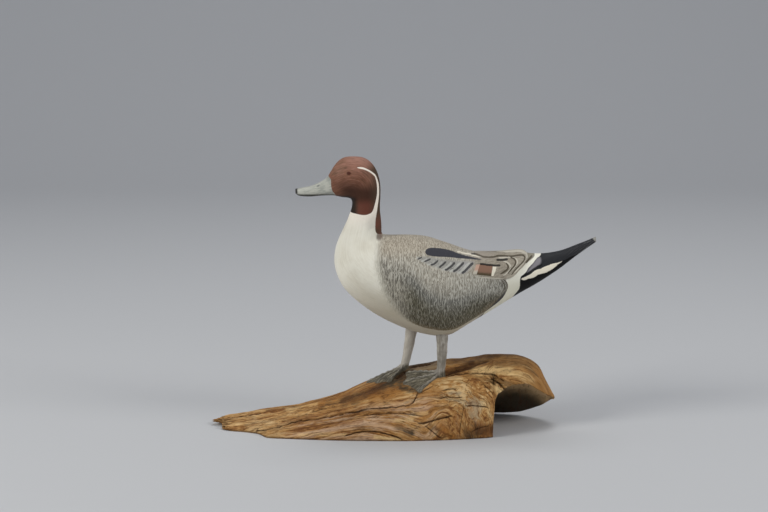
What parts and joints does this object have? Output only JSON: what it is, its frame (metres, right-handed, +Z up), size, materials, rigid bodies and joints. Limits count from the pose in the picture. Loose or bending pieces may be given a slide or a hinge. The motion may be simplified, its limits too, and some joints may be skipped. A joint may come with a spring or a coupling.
{
  "type": "carved pintail drake on driftwood",
  "caption": "Small painted wood carving of a standing pintail drake, its webbed feet set on a weathered driftwood base that rests flat on a shelf.",
  "frame": {"origin": "under the middle of the whole carving, on the surface that it stands on", "axes": "+Z up, the duck faces -X with its tail at +X, and its left side faces -Y"},
  "size_m": [0.192, 0.0608, 0.1371],
  "materials": {
    "painted_wood": "hand-painted in matt oil colours: chestnut head, cream breast, grey vermiculated flanks and a black and white tail",
    "driftwood": "weathered, cracked, golden brown driftwood with a soft sheen",
    "painted_legs": "matt grey paint, olive grey on the webs"
  },
  "bodies": {
    "root": {"carved_duck": "painted_wood", "driftwood_base": "driftwood", "left_leg": "painted_legs", "right_leg": "painted_legs"}
  },
  "joints": []
}
